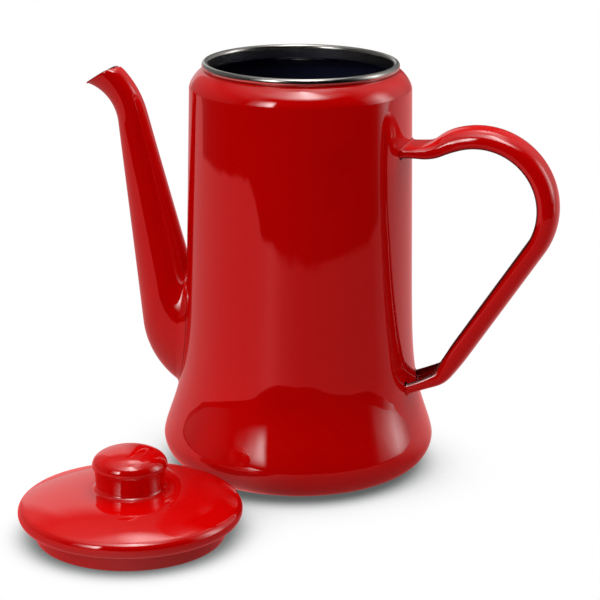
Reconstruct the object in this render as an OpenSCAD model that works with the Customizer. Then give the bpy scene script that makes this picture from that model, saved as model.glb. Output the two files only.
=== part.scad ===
// A drip coffee pot in enamelled steel: a pot with a flared skirt and a rolled steel mouth,
// a gooseneck spout pressed in two halves, a strap handle and a loose lid with a hollow knob.
// The origin is the centre of the foot, on the table. The handle points to +X and the spout
// to -X, so the pot is symmetrical about the plane y = 0. The lid lies on the table beside it.

/* [Pot] */
// Height of the mouth above the table
pot_h = 170; // [160:1:185]
// Radius of the wall where the shoulder starts
wall_r = 45; // [43:0.5:48]
// Radius that the slow taper adds between the shoulder and the skirt
taper_w = 2.9; // [0:0.1:5]
// Radius that the flared skirt adds
flare_w = 8.5; // [5:0.5:12]
// Height over which the flare dies away
flare_h = 19.4; // [15:0.2:24]
// Radius where the rounded bottom corner meets the flat foot
foot_r = 41; // [38:0.5:44]
// Height of the rounded bottom corner
corner_h = 12.8; // [10:0.2:16]
// Height of the sloping shoulder between the wall and the mouth
shoulder_h = 7.4; // [5:0.1:12]
// Thickness of the enamelled sheet
sheet_t = 1.2; // [0.8:0.1:1.5]

/* [Base pan] */
// Radius of the seam between the turned-in foot and the base pan
seam_r = 34; // [28:0.5:36]
// Height of the pan's raised middle above the table
pan_rise = 1.6; // [0.5:0.1:3]
// Width of the step up to the raised middle
pan_step_w = 6; // [4:0.5:10]

/* [Mouth] */
// Clear radius of the mouth inside the steel band
mouth_r = 37.4; // [36:0.2:39]
// Height of the rolled bead above the shoulder
bead_h = 3.2; // [2.6:0.1:4]
// Thickness of the steel band
band_t = 0.5; // [0.4:0.1:0.7]
// How far the band reaches down inside the mouth, from its crest
band_leg_h = 5.5; // [4:0.5:8]

/* [Spout] */
// Height of the lowest point of the spout's root
root_low_z = 29.6; // [27:0.2:33]
// Height of the highest point of the spout's root
root_high_z = 78.4; // [74:0.4:84]
// Half of the root's width
root_half_w = 13.5; // [12.5:0.1:15]
// Half of the mouth's width
mouth_half_w = 5.2; // [4.5:0.1:6.5]
// Heading of the front edge where it leaves the root, in degrees above level
front_root_a = 31.2; // [25:0.2:40]
// Radius of the curve under the spout
front_root_r = 34.4; // [28:0.2:38]
// Heading of the straight front edge
front_a = 83.2; // [80:0.2:86]
// Length of the straight front edge
front_l = 86.1; // [80:0.1:90]
// Radius of the front edge where it turns out to the lip
lip_r = 18; // [14:0.5:22]
// Heading of the front edge at the lip
lip_a = 12; // [5:1:25]
// Heading of the straight back edge
back_a = 73.9; // [72:0.1:76]
// Length of the straight back edge
back_l = 69.6; // [66:0.1:73]
// Radius of the back edge where it turns over to the mouth
back_r = 39.5; // [34:0.5:45]
// Heading of the back edge at the mouth
back_end_a = 40; // [34:1:48]
// How much narrower the mouth gets towards the lip, as a share
beak_share = 0.35; // [0:0.05:0.5]
// How far the top of the mouth is rounded down at the back
mouth_drop_h = 1.2; // [0:0.1:2]
// Width of the fillet where the spout meets the wall
root_fillet_w = 1.2; // [0:0.1:2]

/* [Strainer] */
// Radius of each hole from the pot into the spout
strainer_hole_r = 3; // [2.2:0.1:3.4]
// Radius of the ring of holes round the middle one
strainer_ring_r = 8; // [7.4:0.1:8.4]
// Number of holes in the ring
strainer_count = 6; // [4:1:6]

/* [Handle] */
// Height of the upper tab at the wall
grip_high_z = 137.9; // [130:0.1:145]
// Height of the lower tab at the wall
grip_low_z = 38.4; // [34:0.2:48]
// Heading of the upper tab, in degrees above level
upper_tab_a = 2.4; // [-4:0.2:8]
// Length of the upper tab
upper_tab_l = 6.3; // [4:0.1:10]
// Radius of the bend that lifts the strap to the arch
lift_r = 14.6; // [10:0.2:20]
// Angle of that bend
lift_a = 29.5; // [20:0.5:36]
// Radius of the large bend behind the fingers
arch_r = 28.8; // [24:0.2:34]
// Rise of the lower tab away from the wall, in degrees above level
lower_tab_a = 20.7; // [10:0.1:26]
// Length of the lower tab
lower_tab_l = 10.3; // [8:0.1:14]
// Radius of the bend into the lower tab
lower_bend_r = 8; // [6:0.2:12]
// Width of the upper tab
upper_tab_w = 22.4; // [18:0.2:26]
// Width of the lower tab
lower_tab_w = 21.2; // [18:0.2:26]
// Width of the strap at the grip
grip_w = 16.2; // [13:0.2:20]
// Depth of the strap's section at the upper tab
upper_tab_d = 3.6; // [3:0.1:5]
// Depth of the strap's section at the lower tab
lower_tab_d = 4.6; // [3:0.1:5.5]
// Depth of the strap's section at the grip
grip_d = 7.7; // [6:0.1:9]
// Length over which the upper tab swells into the grip
upper_swell_l = 21; // [15:0.5:28]
// Length over which the grip narrows into the lower tab
lower_swell_l = 25.4; // [18:0.2:32]
// Thickness of the strap's sheet with its enamel
strap_t = 1.4; // [1:0.1:1.8]
// How far the strap's edges are curled in under the crown, in degrees
curl_a = 20; // [5:1:35]

/* [Lid] */
// How far the lid's rolled edge stands out beyond its skirt
lid_overhang_w = 6.4; // [4.5:0.1:9]
// Radius of the rolled edge
edge_r = 3.7; // [3:0.05:4.5]
// Height of the skirt below the rolled edge
skirt_h = 6.6; // [5:0.05:10]
// Play between the skirt and the mouth, all round
lid_play = 0.5; // [0.3:0.1:1]
// How far the skirt tapers in towards its lower edge
skirt_taper_w = 0.2; // [0:0.1:2.5]
// Rise of the lid's top from its edge to the knob
crown_h = 5; // [2:0.1:7]
// Space on the table between the lid and the pot
lid_gap = 5.6; // [2:0.1:30]
// Direction from the pot to the lid, in degrees from +X
lid_side_a = -112.6; // [-125:0.2:-60]

/* [Knob] */
// Largest radius of the knob
knob_r = 14.5; // [12:0.1:17]
// Height of the knob above the lid
knob_h = 16; // [13:0.05:22]
// Height of the neck below the seam
knob_neck_h = 8.5; // [6:0.05:10]
// Height of the widest point above the seam
knob_belly_h = 0.8; // [0.5:0.1:3]
// How much smaller the neck's foot is than the knob
knob_waist_w = 1.3; // [1:0.1:2.5]
// Radius of the fillet at the neck's foot
knob_fillet_r = 1.6; // [0.8:0.1:2]
// Squareness of the dome, where 2 is round
dome_power = 2.2; // [2:0.1:4]

/* [Hidden] */
$fn = 96;
enamel_red = "#c3130d";
seat_gap = 0.05;
weld_gap = 0.1;
flare_power = 1.5;
shoulder_power = 1.3;
grip_power = 0.8;
tab_power = 0.5;

// mouth and shoulder
neck_r = mouth_r + band_t + seat_gap + sheet_t;
shoulder_w = wall_r - neck_r;
neck_z = pot_h - bead_h;
shoulder_z = neck_z - shoulder_h;
bead_bulge = 0.2;
bead_w = sheet_t + 2 * band_t + 2 * seat_gap + bead_bulge;
bead_r = mouth_r + bead_w / 2;
bead_z = pot_h - bead_h / 2;
crest_cover = 1;
lip_z = pot_h - crest_cover;

// steps of the round stretches
arc_step = 10;
bead_step = 15;
wall_steps = 28;
wall_crowding = 1.6;

// Outer radius of the wall at a height: a slow taper plus a flare that dies away upwards
function wall_at(z) =
    let (above = max(0, z - corner_h))
    wall_r + taper_w * (shoulder_z - z) / (shoulder_z - corner_h)
    + flare_w * exp(-pow(above / flare_h, flare_power));

corner_w = wall_at(corner_h) - foot_r;

// Stretches of the pot's outline, each moved inwards by a depth
function corner_line(depth) = [for (a = [0 : arc_step : 90])
    [foot_r + (corner_w - depth) * sin(a), corner_h - (corner_h - depth) * cos(a)]];
function wall_line(depth) = [for (i = [1 : wall_steps])
    let (z = corner_h + (shoulder_z - corner_h) * pow(i / wall_steps, wall_crowding))
    [wall_at(z) - depth, z]];
function shoulder_line(depth) = [for (a = [arc_step : arc_step : 90])
    [neck_r + (shoulder_w - depth) * pow(cos(a), 2 / shoulder_power),
    shoulder_z + (shoulder_h - depth) * pow(sin(a), 2 / shoulder_power)]];
function pot_line(depth) = concat(corner_line(depth), wall_line(depth), shoulder_line(depth));
function reversed(list) = [for (i = [len(list) - 1 : -1 : 0]) list[i]];

module revolve(points) {
    rotate_extrude() polygon(points);
}

module body_shell() {
    color(enamel_red)
    difference() {
        revolve(concat(
            [[seam_r, 0]],
            pot_line(0),
            [[neck_r, lip_z], [neck_r - sheet_t, lip_z], [neck_r - sheet_t, neck_z - sheet_t]],
            reversed(pot_line(sheet_t)),
            [[seam_r, sheet_t]]));
        strainer_holes();
    }
}

// A hole in the middle and a ring of holes round it, along X through the wall behind the spout
module strainer_holes() {
    root_mid_z = (root_low_z + root_high_z) / 2;
    reach = 2 * (flare_w + taper_w);
    translate([-wall_at(root_mid_z), 0, root_mid_z])
    rotate([0, 90, 0]) {
        cylinder(r = strainer_hole_r, h = reach, center = true);
        for (i = [0 : strainer_count - 1])
            rotate([0, 0, 360 * i / strainer_count])
            translate([strainer_ring_r, 0, 0])
            cylinder(r = strainer_hole_r, h = reach, center = true);
    }
}

// The pan butts against the turned-in foot and steps up to a raised middle
module base_pan() {
    step = [for (i = [0 : 6])
        [seam_r - pan_step_w * (1 - i / 6), pan_rise * (1 + cos(180 * i / 6)) / 2]];
    color(enamel_red)
    revolve(concat(
        [[0, pan_rise]],
        step,
        [for (p = reversed(step)) [p[0], p[1] + sheet_t]],
        [[0, pan_rise + sheet_t]]));
}

// The band is rolled over the pot's lip and reaches down inside the mouth
module rim_band() {
    slot_out = neck_r + seat_gap;
    slot_in = neck_r - sheet_t - seat_gap;
    start_a = -acos((slot_out - bead_r) / (bead_w / 2));
    roll = [for (a = [start_a, for (b = [-45 : bead_step : 180]) b])
        [bead_r + bead_w / 2 * cos(a), bead_z + bead_h / 2 * sin(a)]];
    color("#b9b6b0")
    revolve(concat(
        roll,
        [[mouth_r, pot_h - band_leg_h], [mouth_r + band_t, pot_h - band_leg_h],
        [slot_in, neck_z], [slot_in, lip_z + seat_gap], [slot_out, lip_z + seat_gap]]));
}

// Point on a bend: from p, heading h, along an arc of length l that turns by an angle
function bend_end(p, h, l, turn) = abs(turn) < 0.01
    ? p + l * [cos(h), sin(h)]
    : let (r = l * 180 / (PI * turn)) p + r * [sin(h + turn) - sin(h), cos(h) - cos(h + turn)];
function arc_len(r, turn) = r * abs(turn) * PI / 180;

// Point at a distance along an edge, where each stretch is [length, turn]
function along(p, h, bends, s, i = 0) = s <= bends[i][0] || i == len(bends) - 1
    ? bend_end(p, h, s, bends[i][1] * s / bends[i][0])
    : along(bend_end(p, h, bends[i][0], bends[i][1]), h + bends[i][1], bends, s - bends[i][0], i + 1);
function total(bends, i = 0) = i == len(bends) ? 0 : bends[i][0] + total(bends, i + 1);

// The spout's front and back edges, as distance from the pot's axis and height
front_bends = [[arc_len(front_root_r, front_a - front_root_a), front_a - front_root_a],
    [front_l, 0], [arc_len(lip_r, front_a - lip_a), lip_a - front_a]];
back_bends = [[back_l, 0], [arc_len(back_r, back_a - back_end_a), back_end_a - back_a]];
front_start = [wall_at(root_low_z) + weld_gap, root_low_z];
back_start = [wall_at(root_high_z) + weld_gap, root_high_z];
spout_rings = 40;
spout_sides = 14;
strap_sides = 14;
// rings fan out from the top of the root: the back edge starts slowly
fan_power = 2;
width_power = 1.2;
beak_start = 0.7;
fillet_l = 3;

// Distance from the pot's axis of its wall, straight out from a point to the side
function wall_x(y, z) = sqrt(pow(wall_at(z) + weld_gap, 2) - y * y);

// Ring of the half spout, at t along it and moved inwards by a depth, from front to back
function spout_ring(t, depth) =
    let (f = along(front_start, front_root_a, front_bends, t * total(front_bends)),
        b = along(back_start, back_a, back_bends, pow(t, fan_power) * total(back_bends)),
        middle = (f + b) / 2,
        half = (f - b) / 2,
        half_l = norm(half),
        half_w = mouth_half_w + (root_half_w - mouth_half_w) * pow(1 - t, width_power),
        pinch = beak_share * pow(max(0, t - beak_start) / (1 - beak_start), 2))
    [for (i = [0 : spout_sides])
        let (a = 180 * i / spout_sides,
            side = (half_w - depth) * sin(a) * (1 - pinch * cos(a)),
            p = middle + half * (1 - depth / half_l) * cos(a),
            off_wall = t == 0 ? 0 : p[0] - wall_x(side, p[1]),
            fillet = root_fillet_w * pow(max(0, 1 - off_wall / fillet_l), 2),
            droop = t < 1 ? 0 : mouth_drop_h * pow(max(0, -cos(a)), 3),
            y = side + fillet * sin(a),
            z = p[1] + fillet * half[1] / half_l * cos(a) - droop)
        [t == 0 ? -wall_x(y, z) : -p[0], y, z]];

// Closed solid between the outer and the inner skin of a half spout
module spout_half() {
    n = spout_sides + 1;
    rings = [for (k = [0 : spout_rings])
        concat(spout_ring(k / spout_rings, 0), reversed(spout_ring(k / spout_rings, sheet_t)))];
    m = 2 * n;
    last = spout_rings * m;
    skin = [for (k = [0 : spout_rings - 1], i = [0 : m - 1])
        let (a = k * m + i, b = k * m + (i + 1) % m)
        each [[a, b, b + m], [a, b + m, a + m]]];
    root = [for (i = [0 : n - 2])
        let (o = m - 1 - i) each [[i, o, o - 1], [i, o - 1, i + 1]]];
    tip = [for (f = root) [last + f[0], last + f[2], last + f[1]]];
    polyhedron(points = [for (ring = rings) each ring], faces = concat(skin, root, tip));
}

module spout_half_left() {
    color(enamel_red)
    mirror([0, 1, 0])
    spout_half();
}

module spout_half_right() {
    color(enamel_red)
    spout_half();
}

// The strap's path in the plane y = 0: tab, lift, arch, straight back to the pot, bend, tab
function right_of(p, h, r) = p + r * [sin(h), -cos(h)];
strap_start = [wall_at(grip_high_z) + weld_gap, grip_high_z];
strap_end = [wall_at(grip_low_z) + weld_gap, grip_low_z];
lift_start = bend_end(strap_start, upper_tab_a, upper_tab_l, 0);
arch_in_a = upper_tab_a + lift_a;
arch_start = bend_end(lift_start, upper_tab_a, arc_len(lift_r, lift_a), lift_a);
arch_centre = right_of(arch_start, arch_in_a, arch_r);
end_a = lower_tab_a - 180;
bend_stop = strap_end - lower_tab_l * [cos(end_a), sin(end_a)];
bend_centre = right_of(bend_stop, end_a, lower_bend_r);
centre_line = bend_centre - arch_centre;
// the straight stretch is the common tangent of the arch and the lower bend
lean = asin((arch_r - lower_bend_r) / norm(centre_line));
back_down_a = atan2(centre_line[1], centre_line[0]) - lean;
straight_l = norm(centre_line) * cos(lean);
strap_bends = [
    [upper_tab_l, 0, 5],
    [arc_len(lift_r, lift_a), lift_a, 5],
    [arc_len(arch_r, arch_in_a - back_down_a), back_down_a - arch_in_a, 24],
    [straight_l, 0, 12],
    [arc_len(lower_bend_r, back_down_a - end_a), end_a - back_down_a, 6],
    [lower_tab_l, 0, 5]];

// Stations along the strap: [x, z, heading, distance]
function stations(p, h, s0, bends, i = 0) = i == len(bends) ? [] :
    let (l = bends[i][0], turn = bends[i][1], n = bends[i][2])
    concat(
        [for (j = [1 : n])
            let (q = bend_end(p, h, l * j / n, turn * j / n))
            [q[0], q[1], h + turn * j / n, s0 + l * j / n]],
        stations(bend_end(p, h, l, turn), h + turn, s0 + l, bends, i + 1));

function smooth(u) = let (v = min(1, max(0, u))) v * v * (3 - 2 * v);
function signed_pow(v, e) = sign(v) * pow(abs(v), e);

// Skin of the strap's channel across its width, moved inwards by a depth: [across, outwards]
function channel(w, d, power, depth) =
    let (under = pow(sin(curl_a), power), rise = d / (1 + under))
    [for (i = [0 : strap_sides])
        let (a = -curl_a + (180 + 2 * curl_a) * i / strap_sides)
        [(w / 2 - depth) * signed_pow(cos(a), power),
        max(0, (rise - depth) * signed_pow(sin(a), power) + under * rise) - d / 2]];

// Ring of the strap at a station; at either end it is carried on to the wall
function strap_ring(at, length) =
    let (upper = 1 - smooth(at[3] / upper_swell_l),
        lower = 1 - smooth((length - at[3]) / lower_swell_l),
        w = grip_w + (upper_tab_w - grip_w) * upper + (lower_tab_w - grip_w) * lower,
        d = grip_d + (upper_tab_d - grip_d) * upper + (lower_tab_d - grip_d) * lower,
        power = grip_power + (tab_power - grip_power) * (upper + lower),
        n = [-sin(at[2]), cos(at[2])],
        outline = concat(channel(w, d, power, 0), reversed(channel(w, d, power, strap_t))))
    [for (c = outline)
        let (p = [at[0], at[1]] + c[1] * n, end = at[3] == 0 || at[3] == length)
        end ? on_wall(p, c[0], at[2]) : [p[0], c[0], p[1]]];

// Where a line through p with a heading meets the wall, at a place across the strap
function on_wall(p, y, h, tries = 4) =
    let (x = wall_x(y, p[1]))
    tries == 0 ? [x, y, p[1]] : on_wall([x, p[1] + (x - p[0]) * tan(h)], y, h, tries - 1);

module handle_strap() {
    length = total(strap_bends);
    path = concat([[strap_start[0], strap_start[1], upper_tab_a, 0]],
        stations(strap_start, upper_tab_a, 0, strap_bends));
    count = len(path);
    rings = [for (k = [0 : count - 1])
        strap_ring(k == count - 1 ? [path[k][0], path[k][1], path[k][2], length] : path[k], length)];
    n = strap_sides + 1;
    m = 2 * n;
    last = (count - 1) * m;
    skin = [for (k = [0 : count - 2], i = [0 : m - 1])
        let (a = k * m + i, b = k * m + (i + 1) % m)
        each [[a, b + m, b], [a, a + m, b + m]]];
    top = [for (i = [0 : n - 2])
        let (o = m - 1 - i) each [[i, o - 1, o], [i, i + 1, o - 1]]];
    bottom = [for (f = top) [last + f[0], last + f[2], last + f[1]]];
    color(enamel_red)
    polyhedron(points = [for (ring = rings) each ring], faces = concat(skin, top, bottom));
}

// The lid: a cover with a rolled edge, and a skirt that drops into the mouth
skirt_r = mouth_r - lid_play;
lid_r = skirt_r + lid_overhang_w;
edge_z = skirt_h + edge_r;
cover_z = skirt_h + 2 * edge_r + crown_h;
seat_margin = 0.5;
crown_join_a = 67;
lid_distance = wall_at(corner_h) + lid_gap + lid_r;
lid_x = lid_distance * cos(lid_side_a);
lid_y = lid_distance * sin(lid_side_a);

module on_table() {
    translate([lid_x, lid_y, 0]) children();
}

module lid_cover() {
    rim_r = lid_r - edge_r;
    seat_r = knob_r + seat_margin;
    join_r = rim_r + edge_r * cos(crown_join_a);
    join_z = edge_z + edge_r * sin(crown_join_a);
    crown = [for (i = [0 : 6])
        let (u = i / 6)
        [join_r - (join_r - seat_r) * u, join_z + (cover_z - join_z) * (1 - pow(1 - u, 2))]];
    edge_out = [for (a = [-90 : arc_step : 60]) [rim_r + edge_r * cos(a), edge_z + edge_r * sin(a)]];
    edge_in = [for (a = [60 : -arc_step : -90])
        [rim_r + (edge_r - sheet_t) * cos(a), edge_z + (edge_r - sheet_t) * sin(a)]];
    flange_r = skirt_r - sheet_t;
    color(enamel_red)
    on_table()
    revolve(concat(
        [[flange_r, skirt_h]],
        edge_out,
        crown,
        [[0, cover_z], [0, cover_z - sheet_t]],
        [for (p = reversed(crown)) [p[0], p[1] - sheet_t]],
        edge_in,
        [[flange_r, skirt_h + sheet_t]]));
}

module lid_skirt() {
    drop = [for (i = [0 : 5])
        let (u = i / 5)
        [skirt_r - skirt_taper_w * pow(u, 2), skirt_h * (1 - u)]];
    color(enamel_red)
    on_table()
    revolve(concat(drop, [for (p = reversed(drop)) [p[0] - sheet_t, p[1]]]));
}

// The knob: a neck and a domed cap, pressed apart and joined at the seam
knob_seam_z = cover_z + knob_neck_h;
seam_pinch = 0.4;
seam_edge_r = knob_r - seam_pinch;

module knob_neck() {
    waist_r = knob_r - knob_waist_w;
    fillet = [for (a = [0 : 15 : 90])
        [waist_r + knob_fillet_r * (1 - sin(a)), cover_z + knob_fillet_r * (1 - cos(a))]];
    color(enamel_red)
    on_table()
    revolve(concat(
        fillet,
        [[seam_edge_r, knob_seam_z], [seam_edge_r - sheet_t, knob_seam_z],
        [waist_r - sheet_t, cover_z + knob_fillet_r], [waist_r - sheet_t, cover_z]]));
}

module knob_cap() {
    on_table()
    color(enamel_red)
    revolve(concat(cap_line(0), reversed(cap_line(sheet_t))));
}

// The cap swells from the seam to its widest point, then closes as a squared dome
function cap_line(depth) =
    let (belly_z = knob_seam_z + knob_belly_h, dome_h = knob_h - knob_neck_h - knob_belly_h)
    concat(
        [for (i = [0 : 3])
            [knob_r - depth - seam_pinch * pow(1 - i / 4, 2), knob_seam_z + knob_belly_h * i / 4]],
        [for (i = [0 : 12])
            let (a = 90 * i / 12)
            [(knob_r - depth) * pow(cos(a), 2 / dome_power),
            belly_z + (dome_h - depth) * pow(sin(a), 2 / dome_power)]]);

body_shell();
base_pan();
rim_band();
spout_half_left();
spout_half_right();
handle_strap();
lid_cover();
lid_skirt();
knob_neck();
knob_cap();
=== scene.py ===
import math
import bpy
import bmesh
from mathutils import Matrix, Vector


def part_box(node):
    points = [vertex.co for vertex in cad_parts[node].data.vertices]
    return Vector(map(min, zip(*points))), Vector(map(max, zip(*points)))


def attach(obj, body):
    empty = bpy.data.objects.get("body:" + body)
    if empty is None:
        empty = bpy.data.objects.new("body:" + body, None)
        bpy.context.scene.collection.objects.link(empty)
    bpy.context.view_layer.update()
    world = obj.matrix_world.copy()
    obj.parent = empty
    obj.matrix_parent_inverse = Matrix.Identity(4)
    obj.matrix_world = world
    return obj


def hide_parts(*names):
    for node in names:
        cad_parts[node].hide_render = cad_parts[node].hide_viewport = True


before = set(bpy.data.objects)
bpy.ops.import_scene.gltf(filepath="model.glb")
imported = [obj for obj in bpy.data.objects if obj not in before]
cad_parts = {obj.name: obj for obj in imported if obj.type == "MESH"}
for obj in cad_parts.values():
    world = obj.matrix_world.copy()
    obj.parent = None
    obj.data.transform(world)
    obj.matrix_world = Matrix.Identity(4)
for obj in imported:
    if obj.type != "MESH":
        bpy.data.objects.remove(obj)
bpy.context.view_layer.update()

mm = 0.001
deg = math.pi / 180
sharpAngle = 38  # edges that turn more than this stay crisp


def srgb(hexColour):
    channels = [int(hexColour[i:i + 2], 16) / 255 for i in (1, 3, 5)]
    return [c / 12.92 if c <= 0.04045 else ((c + 0.055) / 1.055) ** 2.4 for c in channels] + [1]


def addNode(tree, kind, settings=None, links=None):
    # settings: input name or index -> value, "." names set the node itself; links: input -> output socket
    node = tree.nodes.new(kind)
    for key, value in (settings or {}).items():
        if isinstance(key, str) and key.startswith("."):
            setattr(node, key[1:], value)
        else:
            node.inputs[key].default_value = value
    for key, socket in (links or {}).items():
        tree.links.new(socket, node.inputs[key])
    return node


def emptyMaterial(name):
    material = bpy.data.materials.new(name)
    material.use_nodes = True
    material.node_tree.nodes.clear()
    return material, material.node_tree


def makePiece(name, points, faces, body, nodes, materials, faceSlots=None, weights=None):
    # weights: how dark the glaze is at each point, burnt on cut lips and painted shade inside the strap's
    # channel
    mesh = bpy.data.meshes.new(name)
    mesh.from_pydata(points, [], faces)
    for material in materials:
        mesh.materials.append(material)
    if faceSlots:
        mesh.polygons.foreach_set("material_index", faceSlots)
    mesh.polygons.foreach_set("use_smooth", [True] * len(mesh.polygons))
    work = bmesh.new()
    work.from_mesh(mesh)
    bmesh.ops.recalc_face_normals(work, faces=work.faces)
    for edge in work.edges:
        if len(edge.link_faces) == 2 and edge.calc_face_angle(0) > sharpAngle * deg:
            edge.smooth = False
    work.to_mesh(mesh)
    work.free()
    if weights:
        layer = mesh.attributes.new("lipBurnAndShade", "FLOAT", "POINT")
        layer.data.foreach_set("value", weights)
    piece = bpy.data.objects.new(name, mesh)
    bpy.context.scene.collection.objects.link(piece)
    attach(piece, body)
    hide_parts(*nodes)
    print("made", name, len(mesh.polygons), "faces")
    return piece


def revolve(outline, steps, centre=(0, 0), kinds=None):
    # outline: closed list of (radius, height) in mm; points on the axis become one vertex
    points, faces, slots, index = [], [], [], []
    for r, z in outline:
        if r < 1e-6:
            index.append([len(points)] * steps)
            points.append((centre[0], centre[1], z * mm))
        else:
            index.append(list(range(len(points), len(points) + steps)))
            points += [(centre[0] + r * mm * math.cos(2 * math.pi * k / steps),
                        centre[1] + r * mm * math.sin(2 * math.pi * k / steps), z * mm) for k in range(steps)]
    for i in range(len(outline)):
        a, b = index[i], index[(i + 1) % len(outline)]
        if a[0] == a[1] and b[0] == b[1]:
            continue
        for k in range(steps):
            face = [a[k], a[(k + 1) % steps], b[(k + 1) % steps], b[k]]
            faces.append([v for j, v in enumerate(face) if v != face[j - 1]])
            slots.append(kinds[i] if kinds else 0)
    return points, faces, slots


def arc(centre, radius, start, stop, count):
    angles = [(start + (stop - start) * i / count) * deg for i in range(count + 1)]
    return [(centre[0] + radius * math.cos(a), centre[1] + radius * math.sin(a)) for a in angles]


# the dark lip colour is glaze burnt thin on cut lips, and is also painted inside the strap's channel as shade
enamel = {"red": "#dc0303", "thinRed": "#a00202", "burnAndShade": "#1c0806", "navy": "#20243a",
          "deepNavy": "#14182a", "roughness": 0.03, "glassIor": 1.8, "orangePeelMm": 2.6, "peelDepthMm": 0.05,
          "peelShare": 0.05, "sagMm": 26, "sagDepthMm": 0.6, "thinWhere": (0.58, 0.95), "thinMost": 0.3,
          "rippleMm": (42, 66)}


def firedEnamel(name, colour, thinColour, sagShare, footShare):
    # vitreous enamel on steel, dipped and fired at 800 degrees: a glassy skin that mirrors the room
    # sharply, with fine orange peel and slow sags from the dip that bend what it mirrors
    material, tree = emptyMaterial(name)
    coords = addNode(tree, "ShaderNodeTexCoord")
    peel = addNode(tree, "ShaderNodeTexNoise", {"Scale": 1000 / enamel["orangePeelMm"], "Detail": 1},
                   {"Vector": coords.outputs["Object"]})
    sag = addNode(tree, "ShaderNodeTexNoise", {"Scale": 1000 / enamel["sagMm"], "Detail": 1.4},
                  {"Vector": coords.outputs["Object"]})
    thin = addNode(tree, "ShaderNodeMapRange",
                   {"From Min": enamel["thinWhere"][0], "From Max": enamel["thinWhere"][1],
                    "To Max": enamel["thinMost"]}, {"Value": sag.outputs["Fac"]})
    body = addNode(tree, "ShaderNodeMixRGB", {"Color1": srgb(colour), "Color2": srgb(thinColour)},
                   {"Fac": thin.outputs["Result"]})
    # the glaze burns dark where it is thin on a cut lip; the same dark colour is painted inside the strap's
    # channel as shade
    lip = addNode(tree, "ShaderNodeAttribute", {".attribute_name": "lipBurnAndShade"})
    glaze = addNode(tree, "ShaderNodeMixRGB", {"Color2": srgb(enamel["burnAndShade"])},
                    {"Fac": lip.outputs["Fac"], "Color1": body.outputs["Color"]})
    # the glaze ripples more where it ran down and pooled over the flare
    height = addNode(tree, "ShaderNodeSeparateXYZ", links={0: coords.outputs["Object"]}).outputs["Z"]
    ripple = addNode(tree, "ShaderNodeMapRange",
                     {".interpolation_type": "SMOOTHSTEP", "From Min": enamel["rippleMm"][0] * mm,
                      "From Max": enamel["rippleMm"][1] * mm, "To Min": footShare, "To Max": sagShare},
                     {"Value": height})
    slow = addNode(tree, "ShaderNodeBump", {"Distance": enamel["sagDepthMm"] * mm},
                   {"Height": sag.outputs["Fac"], "Strength": ripple.outputs["Result"]})
    fine = addNode(tree, "ShaderNodeBump",
                   {"Strength": enamel["peelShare"], "Distance": enamel["peelDepthMm"] * mm},
                   {"Height": peel.outputs["Fac"], "Normal": slow.outputs["Normal"]})
    shader = addNode(tree, "ShaderNodeBsdfPrincipled",
                     {"Roughness": enamel["roughness"], "IOR": enamel["glassIor"]},
                     {"Base Color": glaze.outputs["Color"], "Normal": fine.outputs["Normal"]})
    addNode(tree, "ShaderNodeOutputMaterial", links={"Surface": shader.outputs["BSDF"]})
    return material


redEnamel = firedEnamel("fired red enamel", enamel["red"], enamel["thinRed"], 0.2, 0.2)
potEnamel = firedEnamel("fired red enamel, pooled at the foot", enamel["red"], enamel["thinRed"], 0.25, 0.8)
navyEnamel = firedEnamel("fired navy ground enamel", enamel["navy"], enamel["deepNavy"], 0.1, 0.1)

steel = {"pale": "#cfccc6", "dark": "#aeaaa4", "grainMm": 3.5, "grainStretch": 14, "roughness": (0.14, 0.3),
         "grainShare": 0.12, "grainDepthMm": 0.05}


def rolledSteelMaterial():
    # stainless strip, rolled over the lip and buffed: fine lines run round it and streak what it mirrors;
    # they lie 0.25 mm apart (grain over stretch), coarser than real buffing, so that they show
    material, tree = emptyMaterial("rolled stainless steel")
    coords = addNode(tree, "ShaderNodeTexCoord")
    stretched = addNode(tree, "ShaderNodeMapping", {"Scale": (1, 1, steel["grainStretch"])},
                        {"Vector": coords.outputs["Object"]})
    grain = addNode(tree, "ShaderNodeTexNoise", {"Scale": 1000 / steel["grainMm"], "Detail": 3},
                    {"Vector": stretched.outputs["Vector"]})
    rough = addNode(tree, "ShaderNodeMapRange",
                    {"To Min": steel["roughness"][0], "To Max": steel["roughness"][1]},
                    {"Value": grain.outputs["Fac"]})
    tint = addNode(tree, "ShaderNodeMixRGB", {"Color1": srgb(steel["pale"]), "Color2": srgb(steel["dark"])},
                   {"Fac": grain.outputs["Fac"]})
    bump = addNode(tree, "ShaderNodeBump",
                   {"Strength": steel["grainShare"], "Distance": steel["grainDepthMm"] * mm},
                   {"Height": grain.outputs["Fac"]})
    shader = addNode(tree, "ShaderNodeBsdfPrincipled", {"Metallic": 1.0},
                     {"Base Color": tint.outputs["Color"], "Roughness": rough.outputs["Result"],
                      "Normal": bump.outputs["Normal"]})
    addNode(tree, "ShaderNodeOutputMaterial", links={"Surface": shader.outputs["BSDF"]})
    return material


rolledSteel = rolledSteelMaterial()
print("materials mixed")

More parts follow.
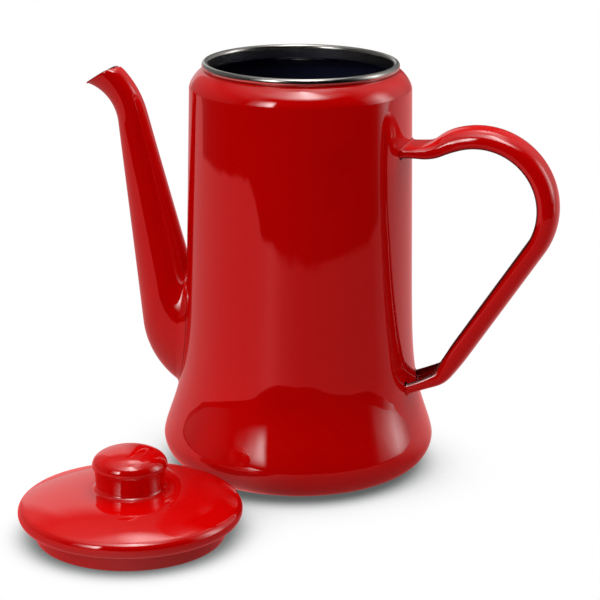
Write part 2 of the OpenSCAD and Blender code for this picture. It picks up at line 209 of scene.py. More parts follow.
# all lengths in these dictionaries are in mm, all angles in degrees
pot = {"height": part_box("rim_band")[1].z / mm, "wallRadius": 45, "taper": 2.9, "flare": 8.5,
       "flareHeight": 19.4, "flarePower": 1.5, "footRadius": 41, "cornerHeight": 12.8, "cornerStep": 5,
       "shoulder": 7.4, "shoulderPower": 1.42, "shoulderSteps": 24, "wallSteps": 60, "wallCrowding": 1.4,
       "sheet": 1.2, "weldGap": 0.1, "seamRadius": 34, "panRise": 1.6, "panStep": 6, "panSteps": 16,
       "panTurns": 128, "turns": 224}
mouth = {"radius": 37.4, "beadHeight": 3.2, "band": 0.5, "seat": 0.05, "bulge": 0.2, "leg": 5.5, "crest": 1,
         "rollSteps": 36}
neckRadius = mouth["radius"] + mouth["band"] + mouth["seat"] + pot["sheet"]
neckHeight = pot["height"] - mouth["beadHeight"]
shoulderWidth = pot["wallRadius"] - neckRadius
shoulderHeight = neckHeight - pot["shoulder"]
lipHeight = pot["height"] - mouth["crest"]


def wallAt(z):
    # outer radius of the pot: a slow taper plus a flare that dies away upwards
    above = max(0, z - pot["cornerHeight"])
    return (pot["wallRadius"] + pot["taper"] * (shoulderHeight - z) / (shoulderHeight - pot["cornerHeight"])
            + pot["flare"] * math.exp(-(above / pot["flareHeight"]) ** pot["flarePower"]))


def wallX(y, z):
    # where the spout and the strap meet the wall, at a place across it
    return math.sqrt((wallAt(z) + pot["weldGap"]) ** 2 - y * y)


def potLine(inset):
    # rounded foot, wall and shoulder, from the foot up; crowded where the flare bends most
    low, high = pot["cornerHeight"], shoulderHeight
    cornerWidth = wallAt(low) - pot["footRadius"]
    corner = [(pot["footRadius"] + (cornerWidth - inset) * math.sin(a * deg),
               low - (low - inset) * math.cos(a * deg)) for a in range(0, 91, pot["cornerStep"])]
    heights = [low + (high - low) * (i / pot["wallSteps"]) ** pot["wallCrowding"]
               for i in range(1, pot["wallSteps"] + 1)]
    wall = [(wallAt(z) - inset, z) for z in heights]
    slope, power = [], 2 / pot["shoulderPower"]
    for i in range(1, pot["shoulderSteps"] + 1):
        a = math.pi / 2 * i / pot["shoulderSteps"]
        slope.append((neckRadius + (shoulderWidth - inset) * max(0, math.cos(a)) ** power,
                      high + (pot["shoulder"] - inset) * math.sin(a) ** power))
    return corner + wall + slope


outer = [(pot["seamRadius"], 0)] + potLine(0) + [(neckRadius, lipHeight)]
inner = ([(neckRadius - pot["sheet"], lipHeight), (neckRadius - pot["sheet"], neckHeight - pot["sheet"])]
         + potLine(pot["sheet"])[::-1] + [(pot["seamRadius"], pot["sheet"])])
kinds = [0] * len(outer) + [1] * (len(inner) - 1) + [0]
points, faces, slots = revolve(outer + inner, pot["turns"], kinds=kinds)
potShell = makePiece("potShell", points, faces, "pot", ["body_shell"], [potEnamel, navyEnamel],
                     slots)

# a rosette of holes through the wall behind the spout keeps the grounds back
strainer = {"height": 54, "holeRadius": 3, "ringRadius": 8, "count": 6, "depth": 16, "sides": 24}
drills = bmesh.new()
for i in range(strainer["count"] + 1):
    away = 0 if i == 0 else strainer["ringRadius"]
    turn = 2 * math.pi * i / strainer["count"]
    place = Matrix.Translation((-wallAt(strainer["height"]) * mm, away * math.sin(turn) * mm,
                                (strainer["height"] + away * math.cos(turn)) * mm))
    bmesh.ops.create_cone(drills, cap_ends=True, segments=strainer["sides"],
                          radius1=strainer["holeRadius"] * mm, radius2=strainer["holeRadius"] * mm,
                          depth=strainer["depth"] * mm, matrix=place @ Matrix.Rotation(math.pi / 2, 4, "Y"))
drillMesh = bpy.data.meshes.new("strainerDrills")
drills.to_mesh(drillMesh)
drills.free()
drillBits = bpy.data.objects.new("strainerDrills", drillMesh)
bpy.context.scene.collection.objects.link(drillBits)
cut = potShell.modifiers.new("strainer", "BOOLEAN")
cut.object = drillBits
cut.solver = "EXACT"
with bpy.context.temp_override(object=potShell, active_object=potShell):
    bpy.ops.object.modifier_apply(modifier="strainer")
bpy.data.objects.remove(drillBits)
print("strainer drilled, pot has", len(potShell.data.polygons), "faces")

# the base pan butts against the turned-in foot and steps up to a raised middle
panShares = [i / pot["panSteps"] for i in range(pot["panSteps"] + 1)]
step = [(pot["seamRadius"] - pot["panStep"] * (1 - share),
         pot["panRise"] * (1 + math.cos(math.pi * share)) / 2) for share in panShares]
pan = ([(0, pot["panRise"])] + step + [(r, z + pot["sheet"]) for r, z in step[::-1]]
       + [(0, pot["panRise"] + pot["sheet"])])
points, faces, slots = revolve(pan, pot["panTurns"], kinds=[0] * (len(step) + 1) + [1] * (len(step) + 1))
makePiece("basePan", points, faces, "pot", ["base_pan"], [redEnamel, navyEnamel], slots)

# the band is rolled over the pot's lip and reaches down inside the mouth
beadWidth = pot["sheet"] + 2 * mouth["band"] + 2 * mouth["seat"] + mouth["bulge"]
beadRadius = mouth["radius"] + beadWidth / 2
beadHeight = pot["height"] - mouth["beadHeight"] / 2
slotOut, slotIn = neckRadius + mouth["seat"], neckRadius - pot["sheet"] - mouth["seat"]
startAngle = -math.acos((slotOut - beadRadius) / (beadWidth / 2)) / deg
roll = []
for i in range(mouth["rollSteps"] + 1):
    a = (startAngle + (180 - startAngle) * i / mouth["rollSteps"]) * deg
    roll.append((beadRadius + beadWidth / 2 * math.cos(a),
                 beadHeight + mouth["beadHeight"] / 2 * math.sin(a)))
band = roll + [(mouth["radius"], pot["height"] - mouth["leg"]),
               (mouth["radius"] + mouth["band"], pot["height"] - mouth["leg"]), (slotIn, neckHeight),
               (slotIn, lipHeight + mouth["seat"]), (slotOut, lipHeight + mouth["seat"])]
points, faces, slots = revolve(band, pot["turns"])
makePiece("mouthBand", points, faces, "pot", ["rim_band"], [rolledSteel])


def bendEnd(p, heading, length, turn):
    # end of an arc of this length that leaves p at a heading and turns by an angle
    if abs(turn) < 0.01:
        return (p[0] + length * math.cos(heading * deg), p[1] + length * math.sin(heading * deg))
    r = length / (turn * deg)
    return (p[0] + r * (math.sin((heading + turn) * deg) - math.sin(heading * deg)),
            p[1] + r * (math.cos(heading * deg) - math.cos((heading + turn) * deg)))


def bend(radius, turn):
    return (radius * abs(turn) * deg, turn)


def along(p, heading, bends, distance):
    # point and heading at a distance along a path of (length, turn) stretches
    for i, (length, turn) in enumerate(bends):
        if distance <= length or i == len(bends) - 1:
            share = distance / length
            return bendEnd(p, heading, distance, turn * share), heading + turn * share
        p, heading, distance = bendEnd(p, heading, length, turn), heading + turn, distance - length


def fillet(size, off):
    # how far a concave fillet stands out, at a distance off the wall
    return size - math.sqrt(size * size - (size - off) ** 2) if 0 <= off < size else 0


def loftFaces(rings, sides):
    return [(k * sides + i, k * sides + (i + 1) % sides,
             (k + 1) * sides + (i + 1) % sides, (k + 1) * sides + i)
            for k in range(rings - 1) for i in range(sides)]


spout = {"rootLow": 29.6, "rootHigh": 78.4, "rootHalfWidth": 13.5, "mouthHalfWidth": 5.2,
         "frontRootAngle": 31.2, "frontRootRadius": 34.4, "frontAngle": 83.2, "frontLength": 86.1,
         "lipRadius": 18, "lipAngle": 12, "backAngle": 73.9, "backLength": 69.6, "backRadius": 39.5,
         "backEndAngle": 40, "beak": 0.35, "beakStart": 0.7, "mouthDrop": 1.2, "dropReach": 3, "fanPower": 2,
         "widthPower": 1.2, "fillet": 2.2, "rings": 170, "ringCrowding": 1.5, "sides": 64, "lipSteps": 8,
         "burntRings": 4}
frontBends = [bend(spout["frontRootRadius"], spout["frontAngle"] - spout["frontRootAngle"]),
              (spout["frontLength"], 0), bend(spout["lipRadius"], spout["lipAngle"] - spout["frontAngle"])]
backBends = [(spout["backLength"], 0), bend(spout["backRadius"], spout["backEndAngle"] - spout["backAngle"])]
frontTotal, backTotal = sum(b[0] for b in frontBends), sum(b[0] for b in backBends)
frontStart = (wallAt(spout["rootLow"]) + pot["weldGap"], spout["rootLow"])
backStart = (wallAt(spout["rootHigh"]) + pot["weldGap"], spout["rootHigh"])


def spoutRing(t, inset, advance=0):
    # ring between the front and back edges at t along the spout; advance moves it on past the mouth
    front = along(frontStart, spout["frontRootAngle"], frontBends, t * frontTotal)[0]
    back = along(backStart, spout["backAngle"], backBends, t ** spout["fanPower"] * backTotal)[0]
    middle = Vector((front[0] + back[0], front[1] + back[1])) / 2
    half = Vector((front[0] - back[0], front[1] - back[1])) / 2
    ahead = Vector((-half.y, half.x)).normalized() * advance
    widen = (1 - t) ** spout["widthPower"]
    halfWidth = spout["mouthHalfWidth"] + (spout["rootHalfWidth"] - spout["mouthHalfWidth"]) * widen
    pinch = spout["beak"] * (max(0, t - spout["beakStart"]) / (1 - spout["beakStart"])) ** 2
    nearMouth = max(0, 1 - (1 - t) * frontTotal / spout["dropReach"]) ** 2
    ring = []
    for i in range(spout["sides"]):
        angle = 2 * math.pi * i / spout["sides"]
        c, s = math.cos(angle), math.sin(angle)
        side = (halfWidth - inset) * s * (1 - pinch * c)
        place = middle + half * (1 - inset / half.length) * c
        off = place.x - wallX(side, place.y) if t > 0 else 0
        swell = fillet(spout["fillet"], off) if inset == 0 else 0
        y = side + swell * s
        z = place.y + swell * half.normalized().y * c
        x = place.x if t > 0 else wallX(y, z)
        droop = spout["mouthDrop"] * max(0, -c) ** 3 * nearMouth
        ring.append((-(x + ahead.x) * mm, y * mm, (z + ahead.y - droop) * mm))
    return ring


lipHalf = pot["sheet"] / 2
shares = [(k / spout["rings"]) ** spout["ringCrowding"] for k in range(spout["rings"])]
outside = [spoutRing(t, 0) for t in shares]
lipRings = [spoutRing(1, lipHalf * (1 - math.cos(b)), lipHalf * (math.sin(b) - 1))
            for b in [math.pi * j / spout["lipSteps"] for j in range(spout["lipSteps"] + 1)]]
inside = [spoutRing(t, pot["sheet"]) for t in shares[::-2]]
rings = outside + lipRings + inside
points = [p for ring in rings for p in ring]
lipMiddle = len(outside) + spout["lipSteps"] / 2
fades = [max(0, 1 - abs(k - lipMiddle) / spout["burntRings"]) for k in range(len(rings))
         for _ in range(spout["sides"])]
faces = loftFaces(len(rings), spout["sides"])
# red outside and over the lip, navy inside
kinds = [1 if f[0] // spout["sides"] >= len(outside) + spout["lipSteps"] - 2 else 0 for f in faces]
# the outer and the inner skin join where the root butts against the wall
last = (len(rings) - 1) * spout["sides"]
for i in range(spout["sides"]):
    j = (i + 1) % spout["sides"]
    faces.append((last + i, last + j, j, i))
    kinds.append(0)
makePiece("gooseneckSpout", points, faces, "pot", ["spout_half_left", "spout_half_right"],
          [redEnamel, navyEnamel], kinds, weights=fades)

grip = {"highHeight": 137.4, "lowHeight": 38.1, "upperAngle": 2.4, "upperLength": 6.3, "liftRadius": 14.6,
        "liftAngle": 29.5, "archRadius": 28.8, "lowerAngle": 20.7, "lowerLength": 10.3, "lowerRadius": 8,
        "width": 16.2, "upperWidth": 22.4, "lowerWidth": 21.2, "depth": 7.7, "upperDepth": 3.6,
        "lowerDepth": 4.6, "upperSwell": 21, "lowerSwell": 25.4, "sheet": 1.4, "curl": 20, "roundness": 0.95,
        "tabRoundness": 0.6, "weld": 0.9, "weldReach": 6, "stations": 190, "endCrowding": 0.35, "sides": 36,
        "lipSteps": 8}


def ease(u):
    v = min(1, max(0, u))
    return v * v * (3 - 2 * v)


def rightOf(p, heading, r):
    return Vector((p[0] + r * math.sin(heading * deg), p[1] - r * math.cos(heading * deg)))


gripStart = (wallAt(grip["highHeight"]) + pot["weldGap"], grip["highHeight"])
gripEnd = (wallAt(grip["lowHeight"]) + pot["weldGap"], grip["lowHeight"])
liftStart = bendEnd(gripStart, grip["upperAngle"], grip["upperLength"], 0)
archAngle = grip["upperAngle"] + grip["liftAngle"]
liftLength = bend(grip["liftRadius"], grip["liftAngle"])[0]
archStart = bendEnd(liftStart, grip["upperAngle"], liftLength, grip["liftAngle"])
archCentre = rightOf(archStart, archAngle, grip["archRadius"])
endAngle = grip["lowerAngle"] - 180
bendStop = bendEnd(gripEnd, endAngle, -grip["lowerLength"], 0)
lowerCentre = rightOf(bendStop, endAngle, grip["lowerRadius"])
between = lowerCentre - archCentre
# the straight stretch is the common tangent of the arch and the lower bend
lean = math.asin((grip["archRadius"] - grip["lowerRadius"]) / between.length)
backAngle = math.atan2(between.y, between.x) / deg - lean / deg
gripBends = [(grip["upperLength"], 0), bend(grip["liftRadius"], grip["liftAngle"]),
             bend(grip["archRadius"], backAngle - archAngle), (between.length * math.cos(lean), 0),
             bend(grip["lowerRadius"], endAngle - backAngle), (grip["lowerLength"], 0)]
gripLength = sum(b[0] for b in gripBends)


def channelLoop(width, depth, roundness, weld):
    # closed outline of the bent sheet across its width: outer skin, rounded lip, inner skin, rounded lip
    power = 2 / roundness
    curl = grip["curl"] * deg
    under = math.sin(curl) ** roundness
    rise = depth / (1 + under)
    low = math.atan2(under, math.cos(curl) ** roundness)
    skins = []
    for inset in (-weld, grip["sheet"] + weld):
        skin = []
        for i in range(grip["sides"] + 1):
            a = -low + (math.pi + 2 * low) * i / grip["sides"]
            grow = (abs(math.cos(a)) ** power + abs(math.sin(a)) ** power) ** (-1 / power)
            skin.append(Vector((max(1, width / 2 - inset) * grow * math.cos(a),
                                max(0.1, rise - inset) * grow * math.sin(a) + under * rise - depth / 2)))
        skins.append(skin)
    loop = skins[0][:]
    for a, b, tangent in ((skins[0][-1], skins[1][-1], skins[0][-1] - skins[0][-2]),
                          (skins[1][0], skins[0][0], skins[0][0] - skins[0][1])):
        radius = (a - b) / 2
        outward = Vector((-radius.y, radius.x))
        if outward.dot(tangent) < 0:
            outward = -outward
        for j in range(1, grip["lipSteps"]):
            turn = math.pi * j / grip["lipSteps"]
            loop.append((a + b) / 2 + radius * math.cos(turn) + outward * math.sin(turn))
        if a == skins[0][-1]:
            loop += skins[1][::-1]
    return loop


def onWall(x, z, y, heading):
    # where a line through (x, z) meets the wall, at a place across the strap
    for _ in range(4):
        wall = wallX(y, z)
        x, z = wall, z + (wall - x) * math.tan(heading * deg)
    return Vector((x, y, z))


def gripRing(s):
    (x, z), heading = along(gripStart, grip["upperAngle"], gripBends, s)
    upper, lower = 1 - ease(s / grip["upperSwell"]), 1 - ease((gripLength - s) / grip["lowerSwell"])
    width = (grip["width"] + (grip["upperWidth"] - grip["width"]) * upper
             + (grip["lowerWidth"] - grip["width"]) * lower)
    depth = (grip["depth"] + (grip["upperDepth"] - grip["depth"]) * upper
             + (grip["lowerDepth"] - grip["depth"]) * lower)
    roundness = grip["roundness"] + (grip["tabRoundness"] - grip["roundness"]) * (upper + lower)
    off = min(s, gripLength - s)
    out = Vector((-math.sin(heading * deg), math.cos(heading * deg)))
    ring = []
    for across, outwards in channelLoop(width, depth, roundness, fillet(grip["weld"], off)):
        flat = Vector((x + outwards * out.x, across, z + outwards * out.y))
        share = max(0, 1 - off / grip["weldReach"])
        if share > 0:
            # near the weld the section follows the round of the pot
            end = onWall(flat.x, flat.z, across, heading)
            home = onWall(flat.x, flat.z, 0, heading)
            flat += (end - home - Vector((0, across, 0))) * share ** 2
        if off == 0:
            flat = onWall(flat.x, flat.z, across, heading)
        ring.append(tuple(flat * mm))
    return ring


# stations along the strap, closer together at its ends
distances = []
for k in range(grip["stations"] + 1):
    crowded = gripLength * (0.5 - 0.5 * math.cos(math.pi * k / grip["stations"]))
    even = (1 - grip["endCrowding"]) * gripLength * k / grip["stations"]
    distances.append(grip["endCrowding"] * crowded + even)
distances[-1] = gripLength
rings = [gripRing(s) for s in distances]
sides = len(rings[0])
points = [p for ring in rings for p in ring]
faces = loftFaces(len(rings), sides)
skinSides, lips = grip["sides"], grip["lipSteps"] - 1
innerFirst = skinSides + 1 + lips
innerLast = innerFirst + skinSides
for base, flip in ((0, 1), ((len(rings) - 1) * sides, -1)):
    # each end closes between the outer and the inner skin, and across the two rounded lips
    loop = [base + i for i in range(sides)]
    for i in range(skinSides):
        facing = innerLast - i
        faces.append([loop[j] for j in (i, facing, facing - 1, i + 1)][::flip])
    faces.append(loop[skinSides:innerFirst + 1][::flip])
    faces.append((loop[innerLast:] + loop[:1])[::flip])
# how dark the glaze is across the strap: burnt dark on the cut lips, painted shade inside the channel
# ("inside"), red from just beside the lips
burnAndShade = {"lip": 1, "edge": 0.85, "beside": 0.1, "inside": 0.75}
outerSkin = [burnAndShade["edge"], burnAndShade["beside"]] + [0] * (skinSides - 3) + [burnAndShade["beside"], burnAndShade["edge"]]
across = outerSkin + [burnAndShade["lip"]] * lips + [burnAndShade["inside"]] * (skinSides + 1) + [burnAndShade["lip"]] * lips
makePiece("strapGrip", points, faces, "pot", ["handle_strap"], [redEnamel],
          weights=across * len(rings))

lid = {"overhang": 6.4, "edgeRadius": 3.7, "skirtHeight": 6.6, "play": 0.5, "taper": 0.2, "crown": 5,
       "crownJoin": 67, "underJoin": 60, "flatPastKnob": 0.5, "rollSteps": 34, "underSteps": 24,
       "crownSteps": 30, "skirtSteps": 12, "lipSteps": 8, "turns": 192}
knob = {"radius": 14.5, "height": 16, "neckHeight": 8.5, "bellyHeight": 0.8, "waist": 1.3, "fillet": 1.6,
        "squareness": 2.2, "pinch": 0.4, "seamRound": (0.25, 0.5), "filletSteps": 12, "bellySteps": 8,
        "domeSteps": 32, "turns": 128}
lidLow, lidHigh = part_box("lid_cover")
lidCentre = ((lidLow.x + lidHigh.x) / 2, (lidLow.y + lidHigh.y) / 2)
skirtRadius = mouth["radius"] - lid["play"]
rollRadius = skirtRadius + lid["overhang"] - lid["edgeRadius"]
rollHeight = lid["skirtHeight"] + lid["edgeRadius"]
coverHeight = lid["skirtHeight"] + 2 * lid["edgeRadius"] + lid["crown"]


def crownLine(inset):
    # leaves the rolled edge on its tangent and flattens towards the knob
    flatRadius = knob["radius"] + lid["flatPastKnob"]
    startRadius = rollRadius + lid["edgeRadius"] * math.cos(lid["crownJoin"] * deg)
    startHeight = rollHeight + lid["edgeRadius"] * math.sin(lid["crownJoin"] * deg)
    line = []
    for i in range(1, lid["crownSteps"] + 1):
        u = i / lid["crownSteps"]
        line.append((startRadius - (startRadius - flatRadius) * u,
                     coverHeight - (coverHeight - startHeight) * (1 - u) ** 2 - inset))
    return line + [(0, coverHeight - inset)]


rollCentre = (rollRadius, rollHeight)
cover = ([(skirtRadius - pot["sheet"], lid["skirtHeight"])]
         + arc(rollCentre, lid["edgeRadius"], -90, lid["crownJoin"], lid["rollSteps"]) + crownLine(0))
under = (crownLine(pot["sheet"])[::-1]
         + arc(rollCentre, lid["edgeRadius"] - pot["sheet"], lid["underJoin"], -90, lid["underSteps"])
         + [(skirtRadius - pot["sheet"], lid["skirtHeight"] + pot["sheet"])])
kinds = [0] * len(cover) + [1] * (len(under) - 1) + [0]
points, faces, slots = revolve(cover + under, lid["turns"], lidCentre, kinds)
makePiece("lidTop", points, faces, "lid", ["lid_cover"], [redEnamel, navyEnamel], slots)

# the ring under the cover draws in a little towards its rounded lower lip
drops = [i / lid["skirtSteps"] for i in range(lid["skirtSteps"] + 1)]
skirt = [(skirtRadius - lid["taper"] * u ** 2, lid["skirtHeight"] * (1 - u)) for u in drops]
lipRound = pot["sheet"] / 2
rolledLip = arc((skirt[-1][0] - lipRound, lipRound), lipRound, 0, -180, lid["lipSteps"])
ring = skirt[:-1] + rolledLip + [(r - pot["sheet"], z) for r, z in skirt[-2::-1]]
redSteps = lid["skirtSteps"] + lid["lipSteps"] // 2  # red outside, navy from the bottom of the lip inwards
points, faces, slots = revolve(ring, lid["turns"], lidCentre, [0] * redSteps + [1] * (len(ring) - redSteps))
makePiece("lidRing", points, faces, "lid", ["lid_skirt"], [redEnamel, navyEnamel], slots)

# the knob: a neck and a domed cap, pressed apart and joined at a seam
seamHeight = coverHeight + knob["neckHeight"]
seamRadius = knob["radius"] - knob["pinch"]
waistRadius = knob["radius"] - knob["waist"]
footHeight = coverHeight + knob["fillet"]
foot = arc((waistRadius + knob["fillet"], footHeight), knob["fillet"], -90, -180, knob["filletSteps"])
stem = foot + [(seamRadius - knob["seamRound"][0], seamHeight - knob["seamRound"][1]),
               (seamRadius, seamHeight), (seamRadius - pot["sheet"], seamHeight),
               (waistRadius - pot["sheet"], footHeight), (waistRadius - pot["sheet"], coverHeight)]
points, faces, slots = revolve(stem, knob["turns"], lidCentre)
makePiece("knobStem", points, faces, "lid", ["knob_neck"], [redEnamel])


def capLine(inset):
    # swells from the pinched seam, then closes in a squarish dome
    bellyHeight = seamHeight + knob["bellyHeight"]
    domeHeight = knob["height"] - knob["neckHeight"] - knob["bellyHeight"]
    belly = [(knob["radius"] - inset - knob["pinch"] * (1 - i / knob["bellySteps"]) ** 2,
              seamHeight + knob["bellyHeight"] * i / knob["bellySteps"]) for i in range(knob["bellySteps"])]
    dome, power = [], knob["squareness"]
    for i in range(knob["domeSteps"] + 1):
        a = math.pi / 2 * i / knob["domeSteps"]
        grow = (math.cos(a) ** power + math.sin(a) ** power) ** (-1 / power)
        dome.append((max(0, (knob["radius"] - inset) * grow * math.cos(a)),
                     bellyHeight + (domeHeight - inset) * grow * math.sin(a)))
    return belly + dome[:-1] + [(0, dome[-1][1])]


points, faces, slots = revolve(capLine(0) + capLine(pot["sheet"])[::-1], knob["turns"], lidCentre)
makePiece("knobDome", points, faces, "lid", ["knob_cap"], [redEnamel])

# the floor by the turn from the front, left positive: how pale the gloss mirrors it near the pot ("lit") and
# past the edge of that painted pool of light ("beyond"), the painted red glow added near the pot for the
# gloss to mirror, where that edge lies ("edgeMm"), and how much light the floor throws back up ("bounce"),
# which is darker towards the front left as painted shade over the pot's lower left
floorLook = {
    "reach": 4, "shadow": "#5c5f5e", "shadowReachMm": 60, "shadowFade": (0.1, 0.85), "softMm": 16,
    "driftMm": 32, "cloudMm": 150,
    "lit": [(-180, 0.36), (-140, 0.38), (-125, 0.32), (-108, 0.17), (-90, 0.07), (-15, 0.075), (0, 0.13),
            (12, 0.24), (22, 0.17), (35, 0.14), (60, 0.16), (80, 0.22), (110, 0.32), (180, 0.34)],
    "beyond": [(-180, 0.3), (-150, 0.28), (-125, 0.3), (-120, 0.7), (-110, 1), (-104, 0.35), (-98, 0.03),
               (-88, 0), (60, 0), (90, 0.03), (110, 0.14), (130, 0.3), (180, 0.3)],
    "paintedRedGlow": [(-180, 0.45), (-110, 0.45), (-80, 0.35), (-5, 0.45), (12, 0.95), (55, 0.95), (90, 0.75),
              (130, 0.45), (180, 0.45)],
    "edgeMm": [(-180, 2600), (-125, 2600), (-112, 600), (-90, 480), (-59, 462), (-35, 440), (-6, 450),
               (14, 480), (22, 505), (29, 610), (36, 680), (52, 690), (71, 660), (100, 680), (118, 2600),
               (180, 2600)],
    # the bounce drops from 50 to 100 degrees as painted shade, dimming the pot's lower left
    "bounce": [(-180, 0.34), (-110, 0.42), (-40, 0.42), (-5, 0.34), (25, 0.28), (50, 0.1), (100, 0.1),
               (130, 0.26), (180, 0.34)]}


def addAngleRamp(tree, position, levels):
    # level by the turn round the pot's axis, 0 at the front and left positive
    parts = addNode(tree, "ShaderNodeSeparateXYZ", links={0: position})
    back = [addNode(tree, "ShaderNodeMath", {".operation": "MULTIPLY", 1: -1}, {0: parts.outputs[axis]})
            for axis in ("X", "Y")]
    turn = addNode(tree, "ShaderNodeMath", {".operation": "ARCTAN2"},
                   {0: back[0].outputs["Value"], 1: back[1].outputs["Value"]})
    around = addNode(tree, "ShaderNodeMapRange", {"From Min": -math.pi, "From Max": math.pi},
                     {"Value": turn.outputs["Value"]})
    ramp = addNode(tree, "ShaderNodeValToRGB", links={"Fac": around.outputs["Result"]})
    brightest = max(level for _, level in levels)
    stops = ramp.color_ramp.elements
    while len(stops) > 1:
        stops.remove(stops[-1])
    for i, (angle, level) in enumerate(levels):
        stop = stops[0] if i == 0 else stops.new(1)
        stop.position = (angle + 180) / 360
        stop.color = [level / brightest] * 3 + [1]
    return addNode(tree, "ShaderNodeMath", {".operation": "MULTIPLY", 1: brightest},
                   {0: ramp.outputs["Color"]})


def paperFloorMaterial():
    # matt white paper: the camera sees plain white and a painted soft contact shadow, darker where the object
    # closes over the paper; the gloss mirrors a darker floor
    material, tree = emptyMaterial("paper floor with painted shadow and glow")
    path = addNode(tree, "ShaderNodeLightPath")
    coords = addNode(tree, "ShaderNodeTexCoord")
    # painted shadow: the paper darkens where the object hems it in
    openness = addNode(tree, "ShaderNodeAmbientOcclusion",
                       {".samples": 16, "Distance": floorLook["shadowReachMm"] * mm})
    fade = addNode(tree, "ShaderNodeMapRange",
                   {".interpolation_type": "SMOOTHSTEP", "From Min": floorLook["shadowFade"][0],
                    "From Max": floorLook["shadowFade"][1]}, {"Value": openness.outputs["AO"]})
    whiteWithPaintedShadow = addNode(tree, "ShaderNodeMixRGB", {"Color1": srgb(floorLook["shadow"]), "Color2": (1, 1, 1, 1)},
                    {"Fac": fade.outputs["Result"]})
    # a painted pool of light round the pot with a wavy edge, dark beyond it, for the gloss to mirror
    lit, beyond, paintedRedGlow, edge, bounce = [addAngleRamp(tree, coords.outputs["Object"], floorLook[zone])
                                for zone in ("lit", "beyond", "paintedRedGlow", "edgeMm", "bounce")]
    away = addNode(tree, "ShaderNodeVectorMath", {".operation": "LENGTH"}, {0: coords.outputs["Object"]})
    cloud = addNode(tree, "ShaderNodeTexNoise", {"Scale": 1000 / floorLook["cloudMm"], "Detail": 4},
                    {"Vector": coords.outputs["Object"]})
    drift = addNode(tree, "ShaderNodeMath", {".operation": "MULTIPLY_ADD", 1: 2 * floorLook["driftMm"],
                                             2: -floorLook["driftMm"]}, {0: cloud.outputs["Fac"]})
    wavyMm = addNode(tree, "ShaderNodeMath", {".operation": "MULTIPLY_ADD", 1: 1 / mm},
                     {0: away.outputs["Value"], 2: drift.outputs["Value"]})
    past = addNode(tree, "ShaderNodeMath", {".operation": "SUBTRACT"},
                   {0: wavyMm.outputs["Value"], 1: edge.outputs["Value"]})
    outside = addNode(tree, "ShaderNodeMapRange",
                      {".interpolation_type": "SMOOTHSTEP", "From Min": -floorLook["softMm"],
                       "From Max": floorLook["softMm"]}, {"Value": past.outputs["Value"]})
    level = addNode(tree, "ShaderNodeMixRGB",
                    links={"Fac": outside.outputs["Result"], "Color1": lit.outputs["Value"],
                           "Color2": beyond.outputs["Value"]})
    # painted red glow near the pot for the gloss to mirror: pale things mirrored in a red deeper than the
    # screen can show come out redder than white
    inside = addNode(tree, "ShaderNodeMath", {".operation": "SUBTRACT", 0: 1}, {1: outside.outputs["Result"]})
    redder = addNode(tree, "ShaderNodeMath", {".operation": "MULTIPLY"},
                     {0: inside.outputs["Value"], 1: paintedRedGlow.outputs["Value"]})
    redOnly = addNode(tree, "ShaderNodeCombineColor", links={"Red": redder.outputs["Value"]})
    mirrored = addNode(tree, "ShaderNodeMixRGB", {".blend_type": "ADD", "Fac": 1},
                       {"Color1": level.outputs["Color"], "Color2": redOnly.outputs["Color"]})
    colour = addNode(tree, "ShaderNodeMixRGB",
                     links={"Fac": path.outputs["Is Camera Ray"], "Color1": mirrored.outputs["Color"],
                            "Color2": whiteWithPaintedShadow.outputs["Color"]})
    seen = addNode(tree, "ShaderNodeEmission", links={"Color": colour.outputs["Color"]})
    # the floor as diffuse light sees it, darker towards the front left as painted shade
    matt = addNode(tree, "ShaderNodeBsdfDiffuse", links={"Color": bounce.outputs["Value"]})
    direct = addNode(tree, "ShaderNodeMath", {".operation": "MAXIMUM"},
                     {0: path.outputs["Is Camera Ray"], 1: path.outputs["Is Glossy Ray"]})
    both = addNode(tree, "ShaderNodeMixShader",
                   links={0: direct.outputs["Value"], 1: matt.outputs["BSDF"], 2: seen.outputs["Emission"]})
    addNode(tree, "ShaderNodeOutputMaterial", links={"Surface": both.outputs["Shader"]})
    return material


floorMesh = bpy.data.meshes.new("floor")
half = floorLook["reach"] / 2
corners = [(-half, -half, 0), (half, -half, 0), (half, half, 0), (-half, half, 0)]
floorMesh.from_pydata(corners, [], [(0, 1, 2, 3)])
floorMesh.materials.append(paperFloorMaterial())
floor = bpy.data.objects.new("floor", floorMesh)
floor.location.z = -0.0001  # a tenth of a millimetre under the object's feet
bpy.context.scene.collection.objects.link(floor)
print("floor laid")

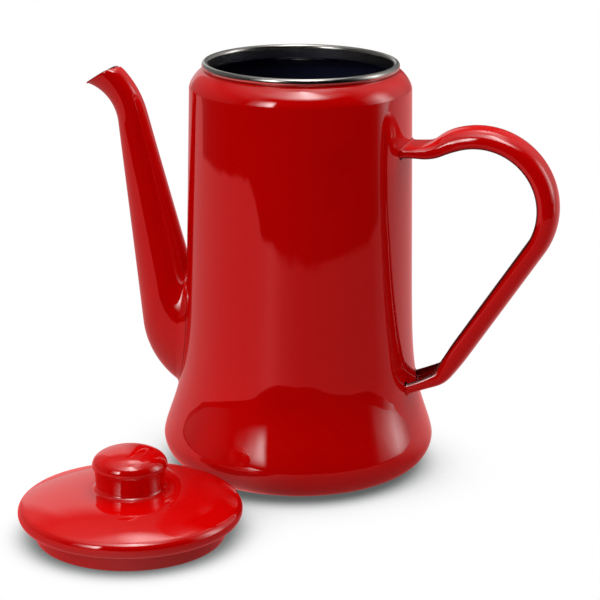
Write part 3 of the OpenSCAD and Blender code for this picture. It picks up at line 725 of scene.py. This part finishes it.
# soft lights as the gloss mirrors them, by the turn from the front, left positive: (turn, level);
# rise and fall are the heights above level, in degrees, between which each fades in and out
softLights = {
    "frontDiffuser": {"round": [(-100, 0), (-85, 0.3), (-70, 0.6), (-60, 1.2), (-52, 3), (-40, 6), (-25, 7),
                                (-15, 5), (-5, 3.5), (10, 2), (20, 1.4), (35, 0.9), (50, 0.4), (70, 0.2),
                                (110, 0.17), (150, 0.08)],
                      "rise": (49, 61), "fall": (80, 90)},
    "backDiffuser": {"round": [(-180, 2.6), (-150, 1), (-135, 0.1), (120, 0.1), (150, 0.9), (165, 3.2),
                               (180, 2.6)],
                     "rise": (58, 65), "fall": (68, 82)},
    "ceiling": {"round": [(-180, 0.8), (-120, 1.6), (-95, 1.6), (-70, 0.6), (-30, 0.8), (90, 0.5),
                          (180, 0.8)],
                "rise": (66, 80), "fall": (89, 91)},
    "window": {"round": [(12, 0), (15, 7), (18, 8), (24, 4), (34, 0.8), (44, 0)],
               "rise": (7, 24), "fall": (32, 44)},
    "rightLamp": {"round": [(-150, 0), (-128, 0.12), (-122, 0.8), (-116, 2), (-110, 2.5), (-103, 1.2),
                            (-96, 0.4), (-86, 0)],
                  "rise": (-8, 8), "fall": (24, 42)},
    "backRight": {"round": [(-165, 0.2), (-145, 0.34), (-115, 0.3), (-98, 0.12), (-80, 0)],
                  "rise": (-30, -20), "fall": (70, 80)},
    "left": {"round": [(45, 0), (60, 0.05), (110, 0.16), (125, 0.2), (138, 0.25), (142, 0.65), (158, 0.6),
                       (163, 0.1), (180, 0.08)],
             "rise": (-30, -20), "fall": (30, 44)},
    "leftAbove": {"round": [(20, 0), (40, 0.2), (130, 0.2), (180, 0.1)], "rise": (32, 50), "fall": (80, 90)},
}
# the light that falls on the enamel: it grows towards the upper left front once it is past "offset", and a
# soft lobe of it stands high at the back
skyLight = {"offset": -1.95, "towards": (-1.7, -2, 2.35), "lobe": (0.15, 0.64, 0.75), "lobeLevel": 4,
            "lobePower": 4}


def studioWorld():
    world = bpy.data.worlds.new("soft studio")
    bpy.context.scene.world = world
    world.use_nodes = True
    tree = world.node_tree
    tree.nodes.clear()
    direction = addNode(tree, "ShaderNodeTexCoord").outputs["Generated"]
    height = addNode(tree, "ShaderNodeMath", {".operation": "ARCSINE"},
                     {0: addNode(tree, "ShaderNodeSeparateXYZ", links={0: direction}).outputs["Z"]})
    total = None
    for light in softLights.values():
        lit = addAngleRamp(tree, direction, light["round"])
        for (start, stop), levels in ((light["rise"], (0, 1)), (light["fall"], (1, 0))):
            edge = addNode(tree, "ShaderNodeMapRange",
                           {".interpolation_type": "SMOOTHSTEP", "From Min": start * deg,
                            "From Max": stop * deg, "To Min": levels[0], "To Max": levels[1]},
                           {"Value": height.outputs["Value"]})
            lit = addNode(tree, "ShaderNodeMath", {".operation": "MULTIPLY"},
                          {0: edge.outputs["Result"], 1: lit.outputs["Value"]})
        if total:
            lit = addNode(tree, "ShaderNodeMath", {".operation": "ADD"}, {0: lit.outputs["Value"], 1: total})
        total = lit.outputs["Value"]
    slope = addNode(tree, "ShaderNodeVectorMath", {".operation": "DOT_PRODUCT", 1: skyLight["towards"]},
                    {0: direction})
    growing = addNode(tree, "ShaderNodeMath", {".operation": "ADD", 1: skyLight["offset"]},
                      {0: slope.outputs["Value"]})
    even = addNode(tree, "ShaderNodeMath", {".operation": "MAXIMUM", 1: 0}, {0: growing.outputs["Value"]})
    facing = addNode(tree, "ShaderNodeVectorMath", {".operation": "DOT_PRODUCT", 1: skyLight["lobe"]},
                     {0: direction})
    ahead = addNode(tree, "ShaderNodeMath", {".operation": "MAXIMUM", 1: 0}, {0: facing.outputs["Value"]})
    lobe = addNode(tree, "ShaderNodeMath", {".operation": "POWER", 1: skyLight["lobePower"]},
                   {0: ahead.outputs["Value"]})
    sky = addNode(tree, "ShaderNodeMath", {".operation": "MULTIPLY_ADD", 1: skyLight["lobeLevel"]},
                  {0: lobe.outputs["Value"], 2: even.outputs["Value"]})
    path = addNode(tree, "ShaderNodeLightPath")
    room = addNode(tree, "ShaderNodeMixRGB",
                   links={"Fac": path.outputs["Is Glossy Ray"], "Color1": sky.outputs["Value"],
                          "Color2": total})
    # the camera sees plain white where there is no floor
    seen = addNode(tree, "ShaderNodeMixRGB", {"Color2": (1, 1, 1, 1)},
                   {"Fac": path.outputs["Is Camera Ray"], "Color1": room.outputs["Color"]})
    background = addNode(tree, "ShaderNodeBackground", links={"Color": seen.outputs["Color"]})
    addNode(tree, "ShaderNodeOutputWorld", links={"Surface": background.outputs["Background"]})


studioWorld()
print("studio lit")

view = {"place": (0.22241, -0.81897, 0.32622), "turn": 15.17, "tilt": 73.172, "roll": 0.396,
        "lensMm": 128.053}
cameraData = bpy.data.cameras.new("camera")
cameraData.sensor_width = 36
cameraData.lens = view["lensMm"]
cameraData.clip_end = 10
camera = bpy.data.objects.new("camera", cameraData)
bpy.context.scene.collection.objects.link(camera)
spins = [Matrix.Rotation(view[key] * deg, 4, axis)
         for key, axis in (("turn", "Z"), ("tilt", "X"), ("roll", "Z"))]
camera.matrix_world = Matrix.Translation(view["place"]) @ spins[0] @ spins[1] @ spins[2]
bpy.context.scene.camera = camera
bpy.context.scene.view_settings.view_transform = "Standard"
